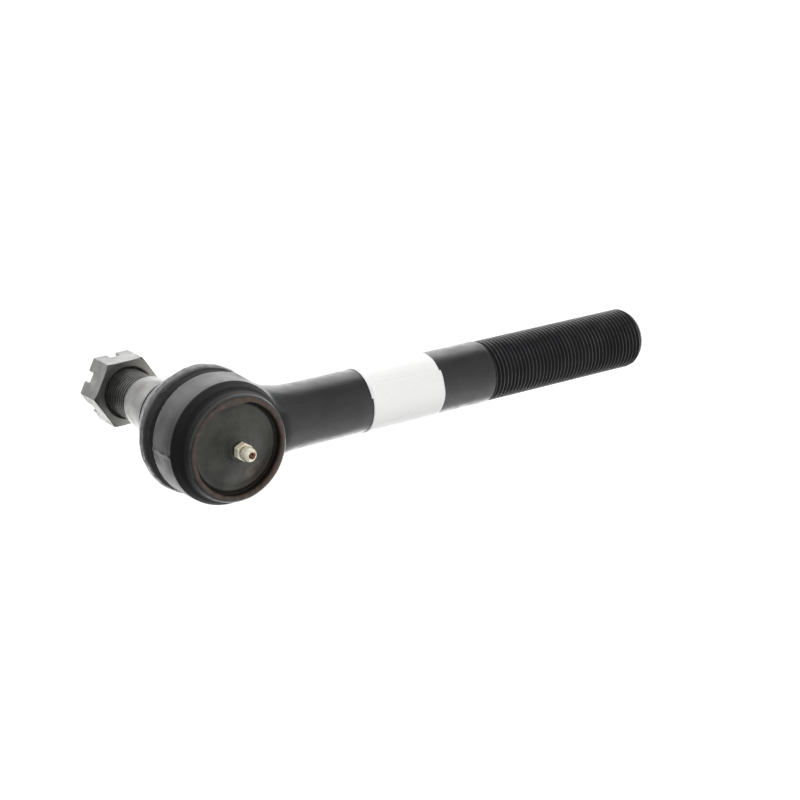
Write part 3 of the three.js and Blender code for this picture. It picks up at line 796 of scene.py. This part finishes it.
# ---- cover plate, grease fitting and its valve ----
def make_cover():
    """The pressed plate, domed in the middle to carry the grease fitting."""
    hole = 2.6
    profile = rounded([
        (hole, COVER_FRONT_Y, 0.1),
        (BOSS_TOP_R - 1.0, COVER_FRONT_Y, 0.5),
        (BOSS_TOP_R + 0.4, DOME_TOP_Y, 1.2),
        ((BOSS_TOP_R + DOME_FOOT_R) / 2, COVER_FACE_Y + (DOME_TOP_Y - COVER_FACE_Y) * 0.55, 4.5),
        (DOME_FOOT_R + 0.2, COVER_FACE_Y, 2.2),
        (LIP_BORE_R - 1.3, COVER_FACE_Y + 0.1, 0.5),
        (LIP_BORE_R - 0.1, COVER_FACE_Y + 1.3, 0.4),
        (COVER_R, COVER_FACE_Y + 1.4, 0.4),
        (COVER_R, COVER_BACK_Y, 0.3),
        (DOME_FOOT_R, COVER_BACK_Y, 2.0),
        ((BOSS_TOP_R + DOME_FOOT_R) / 2, COVER_BACK_Y + (DOME_TOP_Y - COVER_FACE_Y) * 0.55, 3),
        (BOSS_TOP_R, DOME_TOP_Y + COVER_THICK, 1.0),
        (hole, COVER_FRONT_Y + COVER_THICK, 0.1),
    ], closed=True, steps=7)
    shape = turned(profile, closed=True, segments=200)
    return piece_from(
        "pressed_cover", shape, "socket", "cover_plate", cover_phosphate()
    )


def hexagon(x, z, across, turn):
    """Distance to a six-sided bar about Y, with corners at turn from +X."""
    far = np.full(np.shape(x), -1e9)
    for k in range(6):
        a = turn + math.radians(30 + 60 * k)
        far = smooth_max(far, x * math.cos(a) - z * math.sin(a) - across / 2, 0.12)
    return far


def fitting_field(x, y, z):
    """Distance to the grease fitting: hexagon, head and screwed end, less its passage."""
    r = np.hypot(x, z)
    far = COVER_FRONT_Y - HEX_STAND_OFF
    near = far - HEX_LEN
    head = outline_distance(r, y, rounded([
        (0, FITTING_TIP_Y),
        (1.9, FITTING_TIP_Y, 0.5),
        (3.0, FITTING_TIP_Y + 1.2, 0.9),
        (3.25, near - 2.1, 0.8),
        (3.2, near - 1.2, 0.4),
        (2.3, near - 0.7, 0.2),
        (2.3, near + 0.3),
        (2.5, near + 1),
        (2.5, FITTING_END_Y),
        (0, FITTING_END_Y),
    ], steps=3))
    slab = np.maximum(near - y, y - far)
    cone = (r - (HEX_AF / 2 + 0.15) - (y - near) * 0.9) * 0.74
    nut = smooth_max(smooth_max(hexagon(x, z, HEX_AF, HEX_TURN), slab, 0.15), cone, 0.12)
    passage = outline_distance(r, y, [
        (0, FITTING_TIP_Y - 2),
        (2.9, FITTING_TIP_Y - 2),
        (1.45, FITTING_TIP_Y + 0.15),
        (1.0, FITTING_TIP_Y + 0.8),
        (1.65, FITTING_TIP_Y + 1.5),
        (1.65, COVER_FRONT_Y - 1.4),
        (0.8, COVER_FRONT_Y - 0.8),
        (0.8, FITTING_END_Y + 2),
        (0, FITTING_END_Y + 2),
    ])
    return smooth_max(smooth_min(head, nut, 0.15), -passage, 0.12)


def make_fitting():
    reach = HEX_AF / 2 + 1.2
    step = 0.14
    low = (-reach, FITTING_TIP_Y - 0.6, -reach)
    high = (reach, FITTING_END_Y + 0.6, reach)
    shape = grown(fitting_field, low, high, step)
    return piece_from(
        "grease_fitting", shape, "socket", "grease_fitting_body", yellow_zinc()
    )


def make_check_ball():
    low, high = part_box("grease_check_ball")
    middle = (low + high) / 2 / MM
    radius = (high - low)[0] / 2 / MM
    arc = np.linspace(-math.pi / 2, math.pi / 2, 25)
    profile = [(radius * math.cos(a), middle[1] + radius * math.sin(a)) for a in arc]
    shape = turned(profile, segments=48)
    return piece_from(
        "fitting_check_ball", shape, "check_valve", "grease_check_ball",
        check_ball_steel(),
    )


def make_check_spring(steel):
    """A small coil spring, its wire swept along a helix."""
    low, high = span("grease_check_spring", 1)
    wire = 0.2
    mean = span("grease_check_spring", 0)[1] - wire
    turns, around, sides = 5.5, 28, 10
    count = int(turns * around)
    i, s = np.meshgrid(np.arange(count + 1), np.arange(sides), indexing="ij")
    angle, side = i * 2 * math.pi / around, s * 2 * math.pi / sides
    height = low + wire + (high - low - 2 * wire) * i / count + wire * np.sin(side)
    vertices = along("Y", mean + wire * np.cos(side), angle, height).reshape(-1, 3)
    faces = []
    for k in range(count):
        for s in range(sides):
            t = (s + 1) % sides
            faces.append([k * sides + s, k * sides + t, (k + 1) * sides + t, (k + 1) * sides + s])
    faces.append(list(range(sides)))
    faces.append([count * sides + s for s in reversed(range(sides))])
    return piece_from(
        "fitting_check_spring", (vertices, faces), "socket", "grease_check_spring", steel
    )


# ---- bearings and preload spring ----
def ball_arc(radius, start_y, end_y, steps):
    """Points (r, y) along a ball's outline."""
    a0, a1 = math.asin(start_y / radius), math.asin(end_y / radius)
    angles = np.linspace(a0, a1, steps + 1)
    return [(radius * math.cos(a), radius * math.sin(a)) for a in angles]


def make_inner_pieces(bearing, spring):
    """The race and cup that hold the ball, and the disc spring under the cup."""
    seat = BALL_R + GAP
    low, high = span("stud_side_bearing", 1)
    outer = span("stud_side_bearing", 0)[1]
    profile = rounded([(outer, low, 0.3), (outer, high, 0.6), (14.6, high, 0.2)])
    profile += ball_arc(seat, high - 0.3, low, 14)
    shape = turned(profile, closed=True, segments=128)
    piece_from("stud_side_race", shape, "swivel", "stud_side_bearing", bearing)
    low, high = span("pressure_bearing", 1)
    hole = 4.2
    profile = rounded([(hole, low, 0.2), (outer - 0.2, low, 0.6), (outer, low + 3, 0), (outer, high, 0.4)])
    profile += ball_arc(seat, high - 0.2, -math.sqrt(seat**2 - hole**2), 22)
    shape = turned(profile, closed=True, segments=128)
    piece_from("pressure_cup", shape, "socket", "pressure_bearing", bearing)
    low, high = span("preload_spring", 1)
    outer, inner, thick = span("preload_spring", 0)[1], 9, 0.9
    profile = rounded([
        (inner, high - thick, 0.15),
        (outer, low, 0.15),
        (outer, low + thick, 0.15),
        (inner, high, 0.15),
    ], closed=True)
    shape = turned(profile, closed=True, segments=128)
    piece_from("preload_disc_spring", shape, "socket", "preload_spring", spring)


# ---- ball stud and slotted nut ----
def make_stud():
    """Ball, neck and taper turned in one, and the thread on its end."""
    taper_end = TAPER_R - (TAPER_END_Y - TAPER_START_Y) * TAPER_RATIO
    neck_y = math.sqrt(BALL_R**2 - NECK_R**2)
    core = STUD_THREAD_R - THREAD_DEPTH * STUD_PITCH
    profile = [(0, STUD_LOW_Y + 1.2), (3.4, STUD_LOW_Y + 0.15)]
    profile += ball_arc(BALL_R, STUD_LOW_Y, neck_y - 0.5, 36)
    profile += rounded([
        (NECK_R, neck_y + 0.6),
        (NECK_R, 17.4, 2.0),
        (TAPER_R - 1.2, 21.4, 2.4),
        (TAPER_R, TAPER_START_Y, 1.2),
        (taper_end + 0.02, TAPER_END_Y - 0.5, 0.4),
        (taper_end - 0.7, TAPER_END_Y + 0.1, 0.3),
        (core + 0.1, TAPER_END_Y + 0.9, 0.3),
        (core, TAPER_END_Y + 1.6),
        (0, TAPER_END_Y + 1.6),
    ])
    body = turned(profile, segments=160)
    thread = threaded(
        "Y", TAPER_END_Y + 0.3, STUD_END_Y, STUD_PITCH, STUD_THREAD_R, THREAD_DEPTH * STUD_PITCH,
        lambda h: np.where(h > STUD_END_Y - 0.01, 0, core),
        lambda h: np.minimum(
            np.minimum(core + 0.1 + (h - TAPER_END_Y - 0.3) * 0.9, STUD_THREAD_R),
            9.75 + (STUD_END_Y - h) * 0.62,
        ),
        flank=0.24, rows=16,
    )
    shape = joined(body, thread)
    stud = piece_from("ball_and_taper_stud", shape, None, None, machined_steel())
    return stud


def cut_pin_hole(stud):
    """The split pin's hole, cut through the stud under the nut's slots."""
    middle = NUT_FAR_Y - NUT_SLOT_DEPTH / 2 - 0.1
    profile = [(0, -20), (PIN_HOLE_R, -20), (PIN_HOLE_R, 20), (0, 20)]
    vertices, faces = turned(profile, segments=32)
    vertices = vertices[:, [0, 2, 1]] + np.array([0, middle, 0])
    drill = piece_from("drill", (vertices, faces), None)
    cut = stud.modifiers.new("pin_hole", "BOOLEAN")
    cut.object = drill
    cut.operation = "DIFFERENCE"
    cut.solver = "EXACT"
    cut.use_self = True
    graph = bpy.context.evaluated_depsgraph_get()
    mesh = bpy.data.meshes.new_from_object(stud.evaluated_get(graph))
    stud.modifiers.clear()
    stud.data = mesh
    bpy.data.objects.remove(drill)
    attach(stud, "stud")
    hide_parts("ball_stud")


def nut_field(x, y, z):
    """Distance to the slotted nut: a trimmed hexagon, less its threaded hole and three slots across."""
    r = np.hypot(x, z)
    corner = NUT_AF / math.sqrt(3)
    bore = STUD_THREAD_R + GAP - 0.05
    bar = hexagon(x, z, NUT_AF, NUT_TURN)
    slab = smooth_max(NUT_FACE_Y - y, y - NUT_FAR_Y, 0.2)
    near_cone = (r - NUT_AF / 2 - 0.75 - (y - NUT_FACE_Y) * 1.73) * 0.5
    far_cone = (r - corner + 0.15 - (NUT_FAR_Y - y) * 2.0) * 0.45
    solid = smooth_max(smooth_max(bar, slab, 0.22), np.maximum(near_cone, far_cone), 0.2)
    chamfer = np.maximum(NUT_FACE_Y + 1.1 - y, y - NUT_FAR_Y + 0.9)
    thread = 0.22 * np.sin(2 * math.pi * (y / STUD_PITCH) - np.arctan2(x, z))
    hole = r - bore - np.maximum(chamfer, 0) - np.minimum(thread, 0) * -0.6
    solid = smooth_max(solid, -hole, 0.25)
    for k in range(3):
        a = NUT_TURN + math.radians(60 * k)
        across = np.abs(x * math.cos(a) - z * math.sin(a)) - NUT_SLOT_WIDTH / 2
        floor = NUT_FAR_Y - NUT_SLOT_DEPTH - y
        solid = smooth_max(solid, -smooth_max(across, floor, 0.9), 0.22)
    return solid


def make_nut():
    reach = NUT_AF / math.sqrt(3) + 1
    step = 0.36
    low = (-reach, NUT_FACE_Y - 1, -reach)
    high = (reach, NUT_FAR_Y + 1, reach)
    shape = grown(nut_field, low, high, step)
    return piece_from("slotted_hex_nut", shape, "nut", "slotted_nut", nut_steel())


# ---- dust boot and its ring ----
def boot_warp(r, h, angle):
    """Moulded rubber is a little uneven on its bead."""
    bead = ease(r, 26.4, 28.6)
    wave = 0.10 * np.sin(5 * angle + 0.4) + 0.07 * np.sin(11 * angle + 2) + 0.05 * np.sin(23 * angle)
    return r + bead * (wave - 0.16), h + bead * 0.12 * np.sin(7 * angle + 1)


def make_boot():
    ring_r = RING_OUTER_R - 0.8
    ring_y = (RING_LOW_Y + RING_HIGH_Y) / 2
    groove = ring_r - 0.75
    lip = 16.9
    profile = rounded([
        (SEAT_R + 0.15, BEAD_LOW_Y, 0.1),
        (BEAD_R - 1.9, BEAD_LOW_Y + 0.1, 0.4),
        (BEAD_R - 0.7, BEAD_LOW_Y + 0.9, 0.9),
        (BEAD_R, BEAD_LOW_Y + 2.8, 1.2),
        (BEAD_R, 11.4, 1.0),
        (BEAD_R - 0.7, 12.7, 0.9),
        (BEAD_R - 2.0, 13.2, 0.7),
        (BEAD_R - 2.7, 14.3, 0.9),
        (25.4, 17.2, 1.8),
        (23.7, 21.2, 1.8),
        (22.1, 24.8, 2.0),
        (18.8, 28.6, 2.2),
        (lip, 30.3, 1.0),
        (lip, ring_y - 1.1, 0.3),
        (groove, ring_y - 0.75, 0.4),
        (groove, ring_y + 0.75, 0.4),
        (lip, ring_y + 1.1, 0.3),
        (lip - 0.3, BOOT_END_Y, 0.5),
        (TAPER_R - 0.15, BOOT_END_Y - 0.1, 0.5),
        (TAPER_R + 0.1, 29.6, 0.8),
        (16.4, 27.6, 1.6),
        (19.4, 24.2, 1.8),
        (21.5, 20.8, 1.6),
        (23.1, 17.2, 1.4),
        (SEAT_R + 0.15, SOCKET_END_Y + GAP, 0.6),
    ], closed=True, steps=6)
    shape = turned(profile, closed=True, segments=168, warp=boot_warp)
    boot = piece_from("rubber_dust_boot", shape, None, "dust_boot", boot_rubber())
    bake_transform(boot)
    return boot


def make_boot_ring(steel):
    wire = (RING_HIGH_Y - RING_LOW_Y) / 2
    mean = RING_OUTER_R - wire
    middle = (RING_LOW_Y + RING_HIGH_Y) / 2
    around = np.linspace(0, 2 * math.pi, 17)[:-1]
    profile = [(mean + wire * math.cos(a), middle + wire * math.sin(a)) for a in around]
    shape = turned(profile, closed=True, segments=144)
    return piece_from("boot_wire_ring", shape, "boot_lip", "boot_retaining_ring", steel)


# ---- label ----
def make_label():
    """A paper strip wrapped round the shank, whose ends overlap a little out of line."""
    thick = 0.16
    across, around = 40, 220
    seam = math.radians(-72)
    lap = math.radians(22)
    u, v = np.meshgrid(np.linspace(0, 1, around), np.linspace(0, 1, across), indexing="ij")
    angle = seam + u * (2 * math.pi + lap)
    lifted = ease(u, 0.93, 0.965)
    r = SHANK_R + 0.07 + lifted * (thick + 0.03)
    skew = 0.8 * (u - 0.5)
    ragged = 0.12 * np.sin(u * 23) + 0.08 * np.sin(u * 51 + 1)
    x = LABEL_LOW_X + (LABEL_HIGH_X - LABEL_LOW_X - 0.6) * v + 0.3 + skew * 0.9 + ragged * v
    under = along("X", r, angle, x)
    over = along("X", r + thick, angle, x)
    vertices = np.concatenate((under.reshape(-1, 3), over.reshape(-1, 3)))
    half = around * across
    faces = []
    for i in range(around - 1):
        for j in range(across - 1):
            a = i * across + j
            faces.append([a, a + across, a + across + 1, a + 1])
            faces.append([half + a, half + a + 1, half + a + across + 1, half + a + across])
    rim = [i * across for i in range(around)]
    rim += [(around - 1) * across + j for j in range(1, across)]
    rim += [i * across + across - 1 for i in range(around - 2, -1, -1)]
    rim += [j for j in range(across - 2, 0, -1)]
    for a, b in zip(rim, rim[1:] + rim[:1]):
        faces.append([a, half + a, half + b, b])
    return piece_from("paper_label", (vertices, faces), "socket", "label", label_paper())


# ---- stage, camera and light ----
# The camera stands where the photograph was taken from.
CAMERA_AZIMUTH = math.radians(-34.27)
CAMERA_ELEVATION = math.radians(18.23)
CAMERA_ROLL = math.radians(-1.56)
CAMERA_DISTANCE = 857
CAMERA_RIGHT = 80.85
CAMERA_UP = 15.1
LENS_PER_WIDTH = 1997 / 800
SENSOR = 36
FLOOR_Z = -62
TENT_DIM = 0.12
WALL_LIGHT = 2.7


def make_camera():
    """Places the camera and returns the direction from the part to it."""
    ca, sa = math.cos(CAMERA_AZIMUTH), math.sin(CAMERA_AZIMUTH)
    ce, se = math.cos(CAMERA_ELEVATION), math.sin(CAMERA_ELEVATION)
    back = Vector((sa * ce, -ca * ce, se))
    level = Vector((ca, sa, 0))
    upright = back.cross(level)
    right = level * math.cos(CAMERA_ROLL) + upright * math.sin(CAMERA_ROLL)
    up = upright * math.cos(CAMERA_ROLL) - level * math.sin(CAMERA_ROLL)
    data = bpy.data.cameras.new("camera")
    data.sensor_width = SENSOR
    data.lens = LENS_PER_WIDTH * SENSOR
    data.clip_start, data.clip_end = 0.01, 100
    camera = bpy.data.objects.new("camera", data)
    camera.matrix_world = Matrix.Translation(
        (back * CAMERA_DISTANCE + right * CAMERA_RIGHT + up * CAMERA_UP) * MM
    ) @ Matrix((right, up, back)).transposed().to_4x4()
    bpy.context.scene.collection.objects.link(camera)
    bpy.context.scene.camera = camera
    return back


def make_stage():
    """A pale floor that curves up into a wall all round. Only the camera sees it."""
    flat, curve, top = 3000, 3000, 9000
    profile = [(0, FLOOR_Z), (400, FLOOR_Z), (1200, FLOOR_Z), (flat, FLOOR_Z)]
    for k in range(1, 13):
        a = math.radians(7.5 * k)
        profile.append((flat + curve * math.sin(a), FLOOR_Z + curve * (1 - math.cos(a))))
    profile.append((flat + curve, top))
    vertices, faces = turned(profile, segments=96)
    vertices = vertices[:, [0, 2, 1]]
    p = Paint("studio_floor", 0.9, specular=0.1)
    paper = p.noise(40, 3, 0.5)
    colour = p.blend(p.fade(paper, 0.3, 0.7), (0.30, 0.30, 0.30), (0.32, 0.32, 0.32))
    p.shader.inputs["Emission Color"].default_value = (1, 1, 1, 1)
    p.shader.inputs["Emission Strength"].default_value = 0.86
    p.finish(colour)
    stage = piece_from("studio_floor", (vertices, faces), None, paint=p.material)
    stage.visible_diffuse = False
    stage.visible_glossy = False
    stage.visible_transmission = False
    stage.visible_shadow = False


def make_world(back):
    """A light tent: a bright backdrop and a softly lit right side, dark left and behind the camera."""
    world = bpy.data.worlds.new("light_tent")
    bpy.context.scene.world = world
    world.use_nodes = True
    sky = Nodes(world.node_tree)
    background = sky.nodes["Background"]
    around = sky.nodes.new("ShaderNodeTexCoord").outputs["Generated"]
    level = sky.vector("NORMALIZE", sky.vector("MULTIPLY", around, (1, 1, 0)))

    def lit(source, way, low, high, gain=1):
        """Light that rises to gain as a direction turns towards way."""
        return sky.fade(sky.vector("DOT_PRODUCT", source, way.normalized()), low, high, 0, gain)

    away = Vector((-back.x, -back.y, 0)).normalized()
    right = Vector((-back.y, back.x, 0)).normalized()
    up, down = Vector((0, 0, 1)), Vector((0, 0, -1))
    backdrop = lit(level, away - right * 0.29, 0.52, 0.8, WALL_LIGHT)
    total = sky.both(backdrop, lit(around, up, -0.97, -0.7), lit(around, down, -0.97, -0.85))
    total = sky.calc("ADD", total, lit(around, right, 0.3, 1.0, 0.65))
    total = sky.calc("ADD", total, lit(around, down * 0.8 + (away + right) * 0.42, 0.5, 0.95, 1.0))
    front_right = right * 0.75 - away * 0.45 + down * 0.45
    total = sky.calc("ADD", total, lit(around, front_right, 0.7, 1.0, 0.35))
    sky.put(sky.calc("ADD", total, TENT_DIM), background.inputs["Strength"])
    background.inputs["Color"].default_value = (1, 1, 1, 1)


def make_softbox(name, place, aim, size, watts):
    """A square lamp that lights the part but isn't mirrored in it."""
    data = bpy.data.lights.new(name, "AREA")
    data.shape = "RECTANGLE"
    data.size, data.size_y = size
    data.energy = watts
    lamp = bpy.data.objects.new(name, data)
    lamp.location = place
    lamp.rotation_mode = "QUATERNION"
    lamp.rotation_quaternion = (Vector(aim) - Vector(place)).to_track_quat("-Z", "Y")
    lamp.visible_glossy = False
    bpy.context.scene.collection.objects.link(lamp)


def make_studio():
    back = make_camera()
    make_stage()
    make_world(back)
    middle = Vector((0.09, 0.02, 0))
    make_softbox("front_fill", middle + back * 1.1 + Vector((0, 0, 0.35)), middle, (0.9, 0.9), 11)
    scene = bpy.context.scene
    scene.view_settings.view_transform = "Standard"


# ---- the whole object ----
bearing = bearing_steel()
spring = spring_steel()
make_forging()
make_cover()
make_fitting()
make_check_ball()
make_check_spring(spring)
make_inner_pieces(bearing, spring)
cut_pin_hole(make_stud())
make_nut()
make_boot()
make_boot_ring(spring)
make_label()
make_studio()
